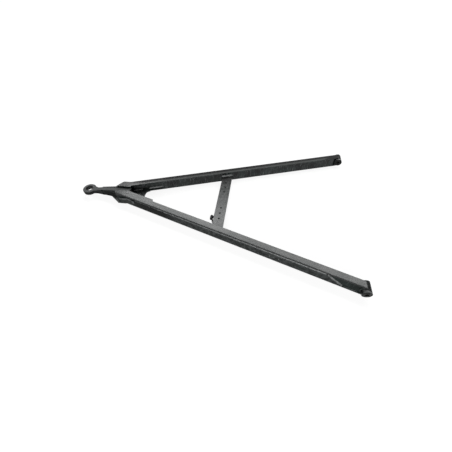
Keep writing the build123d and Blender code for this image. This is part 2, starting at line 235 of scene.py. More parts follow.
# Stain, cloud, streak, grain and nick sizes are those seen on such enamel; the orange peel of
# 1 mm is drawn at 3.5 mm so that it shows.
paintBase = {
    "dark": "#161A19", "light": "#222827", "rubbed": "#414746", "dust": "#5A5D5C", "bare": "#6C7170",
    "stainMm": 90, "cloudMm": 26, "grainMm": 2.2, "peelMm": 3.5, "edgeMm": 2.0,
    "lineMm": 7, "lineStretch": 14, "lineShare": 0.35, "dustShare": 0.08, "dustDull": 0.12,
    "nickMm": 34, "nickFrom": 0.985, "nickStep": 0.01, "nickRagged": 0.22, "nickMetal": 0.15,
    "roughLow": 0.18, "roughHigh": 0.25, "gloss": 0.24, "side": 1, "turn": 0.0, "patches": [],
}
# a patch: where it lies on the leg in mm, how far its rim wanders, and how much of it shows
patchBase = {"range": {}, "soft": 4, "wander": 20, "share": 0.4, "least": 0.5, "colour": "#5C5C5B",
             "lying": False, "dull": 0.3}
# how many octaves each noise has, and how strong the finer ones are
paintNoise = {
    "stain": {"Detail": 4.0, "Roughness": 0.6}, "cloud": {"Detail": 3.0, "Roughness": 0.55},
    "grain": {"Detail": 2.0}, "peel": {"Detail": 2.0},
    "line": {"Scale": 1.0, "Detail": 3.0, "Roughness": 0.6},
}
# where each mask rises along its pattern, and from what to what where that isn't 0 to 1
paintSteps = {
    "stained": {"From Min": 0.35, "From Max": 0.68},
    "lined": {"From Min": 0.52, "From Max": 0.74},
    "lying": {"From Min": 0.35, "From Max": 0.95},
    "clouded": {"From Min": 0.38, "From Max": 0.66, "To Min": 0.15},
    "broken": {"From Min": 0.36, "From Max": 0.56},
    "uneven": {"From Min": 0.42, "From Max": 0.60, "To Min": 0.10, "To Max": 0.85},
    "inside": {"From Min": 0.24, "From Max": 0.30, **falling},
    "satin": {"From Min": 0.3, "From Max": 0.7},
}
paintBumps = {
    "peel": {"Strength": 0.15, "Distance": 0.2 * mm},
    "rolled": {"Strength": 0.15, "Distance": 0.2 * mm},
    "nick": {"Strength": 0.5, "Distance": 0.3 * mm},
}


def paintMaterial(spec):
    # Chassis enamel sprayed over rolled steel: near black, satin where it is clean, duller
    # under dust, rubbed to grey along edges and nicked to bare steel in places. Its colour is a
    # pile of layers: stain, streaks, a lighter colour on what faces up (dust, and painted light
    # where its share is high), patches (some of them painted light and painted shade), rubbed
    # edges, nicks. Its roughness is a smooth step of the stain plus a share of the dust.
    material, tree, coords = startMaterial(spec["name"])
    stain, cloud, grain, skin = (
        addNode(tree, "ShaderNodeTexNoise", inputs={
            "Vector": coords, "Scale": 1 / (spec[kind + "Mm"] * mm), **paintNoise[kind]})
        for kind in ("stain", "cloud", "grain", "peel"))
    lines = streaks(tree, coords, spec)
    lying = lyingMask(tree, paintSteps["lying"])

    stained = addNode(tree, "ShaderNodeMapRange", smooth, {"Value": stain, **paintSteps["stained"]})
    lined = addNode(tree, "ShaderNodeMapRange", smooth, {
        "Value": lines, "To Max": spec["lineShare"], **paintSteps["lined"]})
    clouded = addNode(tree, "ShaderNodeMapRange", smooth, {
        "Value": cloud, "To Max": spec["dustShare"], **paintSteps["clouded"]})
    dustAndPaintedLight = addNode(tree, "ShaderNodeMath", times, {0: lying, 1: clouded})
    layers = [(stained, spec["light"]), (lined, spec["rubbed"]), (dustAndPaintedLight, spec["dust"])]

    place = legPlace(tree, coords, spec["side"])
    for changes in spec["patches"]:
        patch = {**patchBase, **changes}
        broken = addNode(tree, "ShaderNodeMapRange", smooth, {
            "Value": cloud, "To Min": patch["share"] * patch["least"], "To Max": patch["share"],
            **paintSteps["broken"]})
        mask = addNode(tree, "ShaderNodeMath", times, {
            0: patchMask(tree, place, stain, patch), 1: broken})
        if patch["lying"]:
            mask = addNode(tree, "ShaderNodeMath", times, {0: mask, 1: lying})
        layers.append((mask, patch["colour"]))
        dustAndPaintedLight = addNode(tree, "ShaderNodeMath", timesPlus, {0: mask, 1: patch["dull"], 2: dustAndPaintedLight})

    edges, bevelled = edgeMask(tree, spec["edgeMm"] * mm)
    uneven = addNode(tree, "ShaderNodeMapRange", smooth, {"Value": cloud, **paintSteps["uneven"]})
    rubbed = addNode(tree, "ShaderNodeMath", times, {0: edges, 1: uneven})
    nicked = nickMask(tree, coords, grain, spec)
    layers += [(rubbed, spec["rubbed"]), (nicked, spec["bare"])]

    metal = addNode(tree, "ShaderNodeMath", times, {0: nicked, 1: spec["nickMetal"]})
    satin = addNode(tree, "ShaderNodeMapRange", smooth, {
        "Value": stain, "To Min": spec["roughLow"], "To Max": spec["roughHigh"], **paintSteps["satin"]})
    dull = addNode(tree, "ShaderNodeMath", timesPlus, {0: dustAndPaintedLight, 1: spec["dustDull"], 2: satin})
    peel = addNode(tree, "ShaderNodeBump", inputs={
        "Height": skin, "Normal": bevelled, **paintBumps["peel"]})
    rolled = addNode(tree, "ShaderNodeBump", inputs={
        "Height": lines, "Normal": peel, **paintBumps["rolled"]})
    pitted = addNode(tree, "ShaderNodeBump", {"invert": True}, {
        "Height": nicked, "Normal": rolled, **paintBumps["nick"]})
    finishMaterial(tree, {
        "Base Color": layColours(tree, spec["dark"], layers), "Metallic": metal, "Roughness": dull,
        "Specular IOR Level": spec["gloss"], "Normal": pitted})
    return material


# patches that are alike: a painted pool of light on the recess floor, chips and scuffs on the
# strip, painted shade at the noses and a painted highlight on the hinge tubes' exposed tops
recessLightPatch = {"wander": 3, "soft": 2, "share": 0.9, "least": 0.8, "colour": "#C8C9C9"}
chipPatch = {"wander": 2, "soft": 1.5, "share": 0.8, "colour": "#8A8B8B"}
stripScuff = {"wander": 4, "soft": 3, "share": 0.8}
# painted shade on the noses' tops: a darker, duller patch that dims the lamps' reflection there
noseShade = {"wander": 40, "soft": 25, "share": 0.6, "dull": 0.8}
tubeFinish = {"dark": "#0E0E0F", "light": "#18191A", "gloss": 0.03, "dustShare": 0.05}
# painted highlight on each hinge tube's top where it stands out past the flange
tubeTopHighlight = {"wander": 6, "soft": 2, "lying": True, "share": 0.8}
# what differs from paintBase, by a part's name or by one node's
legFinishes = {
    "left_top_flange": {"patches": [
        # painted highlight: the near top lighter over its inner part, where the lamp's reflection lies
        {"range": {"offset": (-60, 0)}, "wander": 22, "lying": True, "share": 0.15, "least": 0.8},
        # painted shade: a darker, duller band along the near top's outer edge
        {"range": {"offset": (18, 60)}, "wander": 3, "share": 0.9, "least": 0.9, "colour": "#0B0B0C",
         "dull": 3.2},
        {**noseShade, "range": {"x": (150, 300)}, "colour": "#101011"},
    ]},
    "right_top_flange": {"patches": [
        # painted highlight: a lighter band along the inner side of the far top
        {"range": {"offset": (-60, -6)}, "wander": 12, "lying": True, "share": 0.24, "least": 0.8},
        # painted shade: the far top's outer band darker
        {"range": {"offset": (-5, 60)}, "wander": 6, "share": 0.9, "least": 0.9, "colour": "#0A0A0B",
         "dull": -0.6},
        # painted shade: the far top darker towards its rear end
        {"range": {"x": (1885, 2010)}, "wander": 20, "soft": 25, "share": 1.0, "least": 0.95,
         "colour": "#050606"},
        {**noseShade, "range": {"x": (150, 330)}, "colour": "#101111"},
    ], "gloss": 0.20, "dustShare": 0.03, "roughLow": 0.15, "roughHigh": 0.21},
    "bottom_flange": {"gloss": 0.16},
    "right_bottom_flange": {"patches": [
        # painted light: near-white patches on the recess floor, where light reaches in from the open side
        {**recessLightPatch, "range": {"x": (455, 573), "offset": (-3, 14), "z": (-36, -30)}},
        {**recessLightPatch, "range": {"x": (335, 402), "offset": (-5, 7), "z": (-36, -30)}},
    ]},
    "outer_web": {"patches": [
        # painted light: the web's lower half lighter than its upper half, which lies in the flange's shade
        {"range": {"x": (340, 575), "z": (-34, 0)}, "share": 0.35, "colour": "#5A5B5B", "soft": 6},
    ], "gloss": 0.03},
    "outer_strip": {"patches": [
        # painted highlight: a light line along the strip's top edge
        {"range": {"x": (600, 1770), "z": (20.6, 30)}, "wander": 2, "soft": 1, "share": 0.7,
         "colour": "#7C7E7E"},
        {**chipPatch, "range": {"x": (1442, 1448), "z": (-10, -4)}},
        {**chipPatch, "range": {"x": (1467, 1476), "z": (-12, -7)}, "wander": 3, "soft": 2, "share": 0.4},
        {**chipPatch, "range": {"x": (1500, 1506), "z": (-9, -3)}, "share": 0.6},
        {"range": {"x": (385, 720)}, "wander": 60, "soft": 70, "share": 0.95, "least": 0.9,
         "colour": "#0A0B0B"},
        {**stripScuff, "range": {"x": (240, 338), "z": (-3, 9)}, "colour": "#606262"},
        {**stripScuff, "range": {"x": (335, 385), "z": (10, 30)}, "colour": "#5C5E5E"},
    ], "dark": "#1E2020", "light": "#383A3A", "stainMm": 26, "cloudMm": 14, "gloss": 0.025,
        "dustShare": 0.2},
    "inner_plate": {"dark": "#0E0E0F", "rubbed": "#5A5C5D", "lineShare": 0.9, "lineMm": 6, "gloss": 0.18},
    "nose_front": {"gloss": 0.06},
    # painted shade: the gussets' enamel darker and flatter, as they lie low in shadow beside the shank
    "shank_gusset": {"dark": "#090A0A", "light": "#131414", "gloss": 0.02, "dustShare": 0.0},
    "left_pivot_tube": {**tubeFinish, "patches": [
        {**tubeTopHighlight, "range": {"offset": (25, 60)}, "colour": "#6E6F6F"}]},
    "right_pivot_tube": {**tubeFinish, "patches": [
        {**tubeTopHighlight, "range": {"offset": (-60, -25)}, "colour": "#7E7F7F"}]},
}
weldPaint = paintMaterial({
    **paintBase, "name": "enamelOverWeld", "stainMm": 12, "nickMm": 9, "light": "#2C2E2E", "edgeMm": 0.6,
    "lineShare": 0.1, "gloss": 0.08})
# lighter enamel on the beads along the strip and over the bar: scuffed paint, and a painted highlight where
# the beads catch the light
scuffedAndHighlitWeld = paintMaterial({
    **paintBase, "name": "scuffedAndHighlitEnamelOverWeld", "stainMm": 26, "cloudMm": 11, "nickMm": 9,
    "nickFrom": 0.9, "dark": "#3A3B3B", "light": "#767878", "rubbed": "#8A8C8C", "edgeMm": 0.6,
    "lineShare": 0.1, "patches": [
        {"range": {"x": (300, 610)}, "wander": 60, "soft": 30, "share": 0.95, "least": 0.9,
         "colour": "#121313"}]})
barPaint = paintMaterial({
    **paintBase, "name": "barEnamel", "turn": math.pi / 2, "lineShare": 0.5, "light": "#343637",
    "stainMm": 28, "roughLow": 0.16, "roughHigh": 0.30, "patches": [
        # painted shade: the bar darker towards its end at the right leg
        {"range": {"offset": (-130, 20)}, "wander": 30, "soft": 60, "share": 0.95, "least": 0.9,
         "colour": "#0A0B0B", "dull": -0.3}]})
# the bottom plate's top a light grey: dust, and painted light on this low face in the crotch
platePaint = paintMaterial({
    **paintBase, "name": "bottomPlateEnamel", "dust": "#7C7D7D", "dustShare": 0.9, "lineShare": 0.3})
hookPaint = paintMaterial({
    **paintBase, "name": "hookEnamel", "dark": "#0E0E0F", "light": "#19191A", "rubbed": "#2A2A2B",
    "dust": "#2E2E2E", "nickMm": 9, "nickFrom": 0.99, "edgeMm": 1.2, "dustShare": 0.2,
    "roughLow": 0.4, "roughHigh": 0.55, "gloss": 0.12})
print("paints made")

forgedSpec = {
    "name": "forgedSteelEnamelled", "dark": "#0E0F0F", "light": "#1E1F1F", "bare": "#6C6D6E",
    # a high dust share: dust, and painted light on the eye's upper faces
    "dust": "#747676", "dustShare": 0.42, "edgeMm": 2.5, "gloss": 0.08,
    "scale": {"Scale": 1 / (6 * mm), "Detail": 4.0, "Roughness": 0.65},
    "stain": {"Scale": 1 / (40 * mm), "Detail": 3.0},
    "wearFrom": 30, "wearTo": 40, "wearShare": 0.3, "wearMetal": 0.65,
    "bump": {"Strength": 0.6, "Distance": 1.0 * mm},
}
forgedSteps = {
    "stained": {"From Min": 0.35, "From Max": 0.65},
    "lying": {"From Min": 0.5, "From Max": 0.95},
    "scaled": {"From Min": 0.40, "From Max": 0.58, "To Min": 0.15},
    "patchy": {"From Min": 0.45, "From Max": 0.62, "To Max": 0.6},
    "dull": {"From Min": 0.3, "From Max": 0.7, "To Min": 0.40, "To Max": 0.62},
}


def forgedMaterial(spec):
    # Drop-forged steel under thin enamel: coarse scale pits, and steel rubbed bright on a ring
    # round the bore, where the coupling rubs. The ring is a falling smooth step of the distance
    # from the bore's axis, in mm, and the colour's layers are stain, a lighter colour on what
    # faces up (dust, and painted light), and wear, which is the greater of ring and edges, both
    # broken up by the scale.
    material, tree, coords = startMaterial(spec["name"])
    scale = addNode(tree, "ShaderNodeTexNoise", inputs={"Vector": coords, **spec["scale"]})
    stain = addNode(tree, "ShaderNodeTexNoise", inputs={"Vector": coords, **spec["stain"]})
    stained = addNode(tree, "ShaderNodeMapRange", smooth, {"Value": stain, **forgedSteps["stained"]})
    dustAndPaintedLight = lyingMask(tree, {**forgedSteps["lying"], "To Max": spec["dustShare"]})

    level = addNode(tree, "ShaderNodeVectorMath", times, {0: coords, 1: (1, 1, 0)})
    reach = addNode(tree, "ShaderNodeVectorMath", length, {0: level})
    ring = addNode(tree, "ShaderNodeMapRange", smooth, {
        "Value": reach, "From Min": spec["wearFrom"] * mm, "From Max": spec["wearTo"] * mm,
        "To Min": spec["wearShare"], "To Max": 0.0})
    scaled = addNode(tree, "ShaderNodeMapRange", smooth, {"Value": scale, **forgedSteps["scaled"]})
    ringWear = addNode(tree, "ShaderNodeMath", times, {0: ring, 1: scaled})
    edges, bevelled = edgeMask(tree, spec["edgeMm"] * mm)
    patchy = addNode(tree, "ShaderNodeMapRange", smooth, {"Value": scale, **forgedSteps["patchy"]})
    edgeWear = addNode(tree, "ShaderNodeMath", times, {0: edges, 1: patchy})
    worn = addNode(tree, "ShaderNodeMath", most, {0: ringWear, 1: edgeWear})

    layers = [(stained, spec["light"]), (dustAndPaintedLight, spec["dust"]), (worn, spec["bare"])]
    metal = addNode(tree, "ShaderNodeMath", times, {0: worn, 1: spec["wearMetal"]})
    dull = addNode(tree, "ShaderNodeMapRange", smooth, {"Value": scale, **forgedSteps["dull"]})
    pits = addNode(tree, "ShaderNodeBump", inputs={"Height": scale, "Normal": bevelled, **spec["bump"]})
    finishMaterial(tree, {
        "Base Color": layColours(tree, spec["dark"], layers), "Metallic": metal, "Roughness": dull,
        "Specular IOR Level": spec["gloss"], "Normal": pits})
    return material


# tool lines of about 0.2 mm are drawn at 1.1 mm, and the zinc's grain at 3.3 mm, so that they show
steelBase = {"noise": {"Detail": 4.0, "Roughness": 0.6}, "lineNoise": {"Scale": 1.0, "Detail": 2.0},
             "lineDull": 0.08, "bump": {"Strength": 0.3, "Distance": 0.1 * mm}}
steelSteps = {
    "stained": {"From Min": 0.36, "From Max": 0.66},
    "satin": {"From Min": 0.3, "From Max": 0.7},
}


def steelMaterial(spec):
    # Machined or plated steel: fine tool lines from noise squeezed to lineMm in x, y and z, and
    # dull patches of oxide or grease. Roughness is a smooth step of the stain plus a small
    # share of the tool lines.
    material, tree, coords = startMaterial(spec["name"])
    stain = addNode(tree, "ShaderNodeTexNoise", inputs={
        "Vector": coords, "Scale": 1 / (spec["stainMm"] * mm), **spec["noise"]})
    squeezed = addNode(tree, "ShaderNodeMapping", inputs={
        "Vector": coords, "Scale": [1 / (size * mm) for size in spec["lineMm"]]})
    lines = addNode(tree, "ShaderNodeTexNoise", inputs={"Vector": squeezed, **spec["lineNoise"]})
    stained = addNode(tree, "ShaderNodeMapRange", smooth, {"Value": stain, **steelSteps["stained"]})
    satin = addNode(tree, "ShaderNodeMapRange", smooth, {
        "Value": stain, "To Min": spec["roughLow"], "To Max": spec["roughHigh"], **steelSteps["satin"]})
    dull = addNode(tree, "ShaderNodeMath", timesPlus, {0: lines, 1: spec["lineDull"], 2: satin})
    bevelled = addNode(tree, "ShaderNodeBevel", edgeSamples, {"Radius": spec["edgeMm"] * mm})
    bump = addNode(tree, "ShaderNodeBump", inputs={"Height": lines, "Normal": bevelled, **spec["bump"]})
    finishMaterial(tree, {
        "Base Color": layColours(tree, spec["clean"], [(stained, spec["stained"])]),
        "Metallic": 1.0, "Roughness": dull, "Normal": bump})
    return material


forgedPaint = forgedMaterial(forgedSpec)
bushSteel = steelMaterial({
    **steelBase, "name": "wornBushSteel", "clean": "#333434", "stained": "#191918", "stainMm": 12,
    "lineMm": (1.1, 1.1, 17), "roughLow": 0.26, "roughHigh": 0.46, "edgeMm": 0.5,
})
sleeveSteel = steelMaterial({
    **steelBase, "name": "greasedSleeveSteel", "clean": "#323333", "stained": "#181716", "stainMm": 9,
    "lineMm": (1.1, 17, 1.1), "roughLow": 0.30, "roughHigh": 0.52, "edgeMm": 0.5,
})
zincSteel = steelMaterial({
    **steelBase, "name": "dullZincPlate", "clean": "#5E6062", "stained": "#3C3E40", "stainMm": 7,
    "lineMm": (3.3, 3.3, 3.3), "roughLow": 0.36, "roughHigh": 0.56, "edgeMm": 0.9,
})
print("metals made")

# finishes by a node's name, or by what follows its side
finishes = {
    "towing_eye": forgedPaint, "eye_bush": bushSteel, "cross_bar": barPaint, "bottom_plate": platePaint,
    "hook_lug": hookPaint, "storage_hook": hookPaint, "hook_bolt": hookPaint, "hook_nut": hookPaint,
    "strip_bolts": zincSteel, "strip_nuts": zincSteel, "strip_washers": zincSteel,
    "grease_nipples": zincSteel, "pivot_sleeve": sleeveSteel, "pivot_bush": bushSteel,
}
for nodeName, node in frame["nodes"].items():
    sideName, partName = nodeName.split("_", 1)
    finish = finishes.get(nodeName) or finishes.get(partName)
    if finish is None:
        side = sideSigns[sideName]
        changes = {**legFinishes.get(partName, {}), **legFinishes.get(nodeName, {})}
        finish = paintMaterial({**paintBase, **changes, "side": side, "turn": -side * legAngle,
                                "name": f"{sideName}LegEnamel_{partName}"})
    for materialSlot in node.material_slots:
        materialSlot.material = finish
print("nodes finished")


def evenPath(corners, step, fewest=8):
    # points at equal steps along the straight runs between the corners
    corners = np.asarray(corners, float)
    lengths = np.linalg.norm(np.diff(corners, axis=0), axis=1)
    reached = np.concatenate([[0], np.cumsum(lengths)])
    count = max(fewest, int(round(reached[-1] / step)) + 1)
    along = np.linspace(0, reached[-1], count)
    return along, np.stack([np.interp(along, reached, corners[:, i]) for i in range(3)], -1)


def endTaper(along, spec):
    # rises from 0 to 1 as a quarter circle over the bead's first stretch, endRun times its size,
    # and falls likewise over its last
    ends = np.minimum(along, along[-1] - along) / (spec["endRun"] * spec["size"])
    return np.sqrt(1 - (1 - np.clip(ends, 0, 1)) ** 2)[:, None]


def rippleDepth(along, lag, spec):
    # the share of a ripple that is passed, to a power under 1, less a half, times the depth: it
    # swells fast and falls at once, later where the section's lag is greater
    phase = along[:, None] / spec["ripple"] - lag[None, :]
    return spec["depth"] * (np.mod(phase, 1.0) ** spec["crest"] - 0.5)


def weldBead(name, corners, wallA, wallB, spec, material=weldPaint):
    # A bead in the corner of two walls. Its section is a quarter turn from wall A to wall B
    # whose radius bulges in the middle; along the path the radius swells and falls once for
    # each ripple, later in the middle than at the toes, wanders by two slow sine waves, and
    # shrinks to nothing at both ends.
    along, centres = evenPath(corners, spec["ripple"] / spec["cuts"])
    wallA = np.broadcast_to(np.asarray(wallA, float), centres.shape)
    wallB = np.broadcast_to(np.asarray(wallB, float), centres.shape)
    turn = np.linspace(0, math.pi / 2, spec["sides"])
    crown = np.sin(2 * turn)
    ripple = rippleDepth(along, spec["lag"] * crown, spec)
    wander = spec["wander"] * (np.sin(along / spec["longWave"] + spec["seed"])
                               + np.sin(along / spec["shortWave"] + spec["shortShift"] * spec["seed"]))
    bulge = 1 - spec["flat"] * crown[None, :]
    radius = spec["size"] * endTaper(along, spec) * (bulge + ripple + wander[:, None])
    direction = (wallA[:, None, :] * np.cos(turn)[None, :, None]
                 + wallB[:, None, :] * np.sin(turn)[None, :, None])
    face = centres[:, None, :] + radius[:, :, None] * direction
    root = centres - spec["sink"] * (wallA + wallB)
    addTube(name, np.concatenate([face, root[:, None, :]], 1), material)


def roundBead(name, corners, across, lift, spec):
    # A bead that stands free over a gap: a full ring round the path, whose radius swells and
    # falls once for each ripple, later on its upper side, and shrinks to nothing at both ends.
    along, centres = evenPath(corners, spec["ripple"] / spec["cuts"])
    turn = np.linspace(0, 2 * math.pi, spec["ringSides"], endpoint=False)
    ripple = rippleDepth(along, spec["ringLag"] * np.clip(np.sin(turn), 0, 1), spec)
    radius = spec["size"] * endTaper(along, spec) * (1 + ripple)
    direction = (np.asarray(across, float)[None, None, :] * np.cos(turn)[None, :, None]
                 + np.asarray(lift, float)[None, None, :] * np.sin(turn)[None, :, None])
    addTube(name, centres[:, None, :] + radius[:, :, None] * direction, weldPaint)


def addTube(name, loops, material):
    # closed rings of points joined in order by quads, with one flat face at each end
    rings, around = loops.shape[:2]
    index = np.arange(rings * around).reshape(rings, around)
    beside = np.roll(index, -1, axis=1)
    quads = np.stack([index[:-1], index[1:], beside[1:], beside[:-1]], -1).reshape(-1, 4)
    mesh = bpy.data.meshes.new(name)
    faces = [*quads.tolist(), index[0].tolist(), index[-1][::-1].tolist()]
    mesh.from_pydata(loops.reshape(-1, 3).tolist(), [], faces)
    mesh.validate()
    mesh.shade_smooth()
    turnOutwards(mesh)
    piece = bpy.data.objects.new(name, mesh)
    bpy.context.scene.collection.objects.link(piece)
    mesh.materials.append(material)
    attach(piece, "drawbar")


def turnOutwards(mesh):
    # the summed triple products of a closed surface's triangles are negative where its faces
    # point inwards, and then they are flipped
    mesh.calc_loop_triangles()
    corner = np.zeros(len(mesh.loop_triangles) * 3, np.int32)
    mesh.loop_triangles.foreach_get("vertices", corner)
    place = np.zeros(len(mesh.vertices) * 3)
    mesh.vertices.foreach_get("co", place)
    a, b, c = place.reshape(-1, 3)[corner.reshape(-1, 3)].transpose(1, 0, 2)
    if np.einsum("ij,ij->i", a, np.cross(b, c)).sum() < 0:
        mesh.flip_normals()


# a bead in metres: its leg, the pitch and depth of its ripples, and how far its middle is flat
beadSpec = {
    "size": 0.006, "ripple": 0.005, "depth": 0.10, "crest": 0.6, "lag": 0.55, "flat": 0.22,
    "sink": 0.0004, "endRun": 0.6, "cuts": 5, "sides": 8, "ringSides": 14, "ringLag": 0.5,
    "wander": 0.02, "longWave": 0.031, "shortWave": 0.013, "shortShift": 2.1, "seed": 1.0,
}
longBead = {**beadSpec, "size": 0.005, "cuts": 3, "sides": 5, "depth": 0.16}

# all that follows is in metres, and a place along the leg is its x
stripWeldSpec = {"frontX": 0.420, "slopeTopX": 1.786, "endGap": 0.004, "topSize": 0.0055,
                 "endSize": 0.0075}


def stripWelds(sideName, side):
    # along the outer strip's top edge, and down its sloped rear end, both on the web behind it
    spec = stripWeldSpec
    slopeFootX, _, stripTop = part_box(f"{sideName}_outer_strip")[1]
    outward = legOutward(side)
    topEdge = legPoints(side, [spec["frontX"], spec["slopeTopX"] - spec["endGap"]], webFace, stripTop)
    weldBead(f"{sideName}_strip_top_weld", topEdge, outward, up,
             {**longBead, "size": spec["topSize"], "seed": 0.4 + side}, scuffedAndHighlitWeld)
    slopeEnds = legPoints(side, [spec["slopeTopX"], slopeFootX], webFace, [stripTop, -insideTop])
    run = slopeEnds[1] - slopeEnds[0]
    offRun = np.cross(outward, run / np.linalg.norm(run))
    offRun *= np.sign(offRun[2])
    weldBead(f"{sideName}_strip_end_weld", slopeEnds, outward, offRun,
             {**beadSpec, "size": spec["endSize"], "seed": 1.0 + side}, scuffedAndHighlitWeld)


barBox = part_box("cross_bar")
barWeldSpec = {"size": 0.0095, "ahead": 0.005, "overlap": 0.004}


def barWelds(sideName, side):
    # over and under the bar's end, and up both its edges, all on the leg's inner face
    spec = barWeldSpec
    (front, _, bottom), (rear, _, top) = barBox
    for level, z, finish in (("top", top, scuffedAndHighlitWeld), ("under", bottom, weldPaint)):
        lift = levelSigns[level]
        line = legPoints(side, [front - spec["ahead"], rear], -halfWidth, z)
        weldBead(f"{sideName}_bar_{level}_weld", line, -legOutward(side), lift * up,
                 {**beadSpec, "size": spec["size"], "seed": 2.0 + side + lift}, finish)
    for edge, x, way in (("front", front, -1), ("rear", rear, 1)):
        line = legPoints(side, x, -halfWidth, [bottom - spec["overlap"], top + spec["overlap"]])
        weldBead(f"{sideName}_bar_{edge}_weld", line, way * legAlong(side), (0, -side, 0),
                 {**beadSpec, "seed": 3.0 + way})


# the ring welds lie at flangeGap behind the flange ends, endGap in from their sides; the saddle
# runs round the tube's front by its angle each way
tubeWeldSpec = {"flangeGap": 0.0005, "endGap": 0.003, "height": 0.0325, "size": 0.0048,
                "saddleAngle": 1.05, "saddlePoints": 25}


def tubeWelds(sideName, side):
    # hinge tube to both flange ends, bridging the gap between them, and to the web on an arc of
    # a circle round the tube, on the web's outer and inner face
    spec = tubeWeldSpec
    halfSpan = halfWidth - spec["endGap"]
    for level, lift in levelSigns.items():
        line = legPoints(side, flangeEndX + spec["flangeGap"], [-halfSpan, halfSpan], lift * spec["height"])
        roundBead(f"{sideName}_tube_{level}_weld", line, (1, 0, 0), up, {**beadSpec, "size": spec["size"]})

    tubeLow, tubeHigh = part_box(f"{sideName}_pivot_tube")
    tubeRadius = (tubeHigh[0] - tubeLow[0]) / 2
    around = np.linspace(-spec["saddleAngle"], spec["saddleAngle"], spec["saddlePoints"])
    radial = np.stack([-np.cos(around), 0 * around, np.sin(around)], -1)
    saddle = legPoints(side, hingeX + tubeRadius * radial[:, 0], webFace, tubeRadius * radial[:, 2])
    for face, way, inward in (("outer", side, 0.0), ("inner", -side, plate)):
        line = saddle - inward * legOutward(side)
        along, _ = evenPath(line, beadSpec["ripple"] / beadSpec["cuts"])
        share = along / along[-1] * (len(around) - 1)
        wall = np.stack([np.interp(share, np.arange(len(around)), radial[:, i]) for i in range(3)], -1)
        weldBead(f"{sideName}_tube_web_{face}_weld", line, wall, (0, way, 0), beadSpec)


noseWeldSpec = {"tipGap": 0.002, "underRun": 0.115, "endGap": 0.003, "sideGap": 0.002, "size": 0.0045}
gussetBead = {**beadSpec, "size": 0.004, "ripple": 0.004, "seed": 4.2}


def noseWelds(sideName, side):
    # front plate to the shank gusset's side, gusset to the shank at its tip and its foot, and
    # front plate to the flanges over and under it
    spec = noseWeldSpec
    gussetLow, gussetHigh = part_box(f"{sideName}_shank_gusset")
    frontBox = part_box(f"{sideName}_nose_front")
    shankHalf, frontHalf = sorted(abs(corner[1]) for corner in frontBox)
    gussetSide = max(abs(gussetLow[1]), abs(gussetHigh[1]))
    lean = np.array([noseLean, side, 0.0]) / math.hypot(1, noseLean)
    ahead = np.array([-1.0, side * noseLean, 0.0]) / math.hypot(1, noseLean)
    gussetRun = np.array([gussetHigh[0] - gussetLow[0], side * (gussetSide - shankHalf), 0.0])
    weldBead(f"{sideName}_gusset_front_weld", nosePoints(side, gussetSide, [gussetLow[2], gussetHigh[2]]),
             -gussetRun / np.linalg.norm(gussetRun), lean, {**beadSpec, "seed": 4.0})

    toe = (gussetLow[0], side * shankHalf, gussetLow[2])
    tip = (toe[0], toe[1], gussetHigh[2] - spec["tipGap"])
    heel = (toe[0] + spec["underRun"], toe[1], toe[2])
    weldBead(f"{sideName}_gusset_tip_weld", [toe, tip], (-1, 0, 0), (0, side, 0), gussetBead)
    weldBead(f"{sideName}_gusset_under_weld", [toe, heel], (0, side, 0), -up, gussetBead)

    for level, lift in levelSigns.items():
        line = nosePoints(side, [shankHalf + spec["endGap"], frontHalf - spec["sideGap"]], lift * insideTop)
        weldBead(f"{sideName}_nose_{level}_weld", line, ahead, -lift * up,
                 {**beadSpec, "size": spec["size"], "seed": 4.5})


bottomWeldSpec = {"crotchX": (0.352, 0.455), "lapX": (0.335, 0.464), "lapOffset": 0.012, "size": 0.0055}


def bottomPlateWelds(sideName, side):
    # a seam in the crotch above the bottom plate, and a lap seam along its arm below
    spec = bottomWeldSpec
    outward = legOutward(side)
    crotch = legPoints(side, spec["crotchX"], -halfWidth, -halfHeight)
    weldBead(f"{sideName}_crotch_weld", crotch, -outward, up, {**beadSpec, "size": spec["size"], "seed": 5.0})
    lap = legPoints(side, spec["lapX"], spec["lapOffset"], -halfHeight)
    weldBead(f"{sideName}_lap_weld", lap, outward, -up, {**beadSpec, "size": spec["size"], "seed": 6.0})


# the strip's sloped end leaves the web bare further forward at the top than below
webWeldSpec = {"behindStrip": 0.006, "topAhead": 0.09, "rearX": 1.962}


def webWelds(sideName, side):
    # web to both flanges on its outer side, from the strip's end to the hinge tube
    spec = webWeldSpec
    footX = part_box(f"{sideName}_outer_strip")[1][0] + spec["behindStrip"]
    for level, x in (("top", footX - spec["topAhead"]), ("under", footX)):
        lift = levelSigns[level]
        line = legPoints(side, [x, spec["rearX"]], webFace, lift * insideTop)
        weldBead(f"{sideName}_web_{level}_weld", line, legOutward(side), -lift * up,
                 {**longBead, "seed": 6.5 + lift})


innerWeldSpec = {"edge": 0.001, "size": 0.005}


def innerPlateWelds(sideName, side):
    # across the inner plate's front and rear ends, at the upper and the lower flange
    spec = innerWeldSpec
    (frontX, _, _), (rearX, _, _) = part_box(f"{sideName}_inner_plate")
    offsets = [spec["edge"] - halfWidth, plate - halfWidth]
    for end, x, way in (("front", frontX, -1), ("rear", rearX, 1)):
        for level, lift in levelSigns.items():
            line = legPoints(side, x, offsets, lift * insideTop)
            weldBead(f"{sideName}_plate_{end}_{level}_weld", line, way * legAlong(side), -lift * up,
                     {**beadSpec, "size": spec["size"], "seed": 7.0 + lift})


seamMakers = (stripWelds, barWelds, tubeWelds, noseWelds, bottomPlateWelds, webWelds, innerPlateWelds)
for sideName, side in sideSigns.items():
    for makeSeams in seamMakers:
        makeSeams(sideName, side)

lugBead = {**beadSpec, "size": 0.004, "ripple": 0.003}
lugTopSpec = {"size": 0.003, "ahead": 0.004}


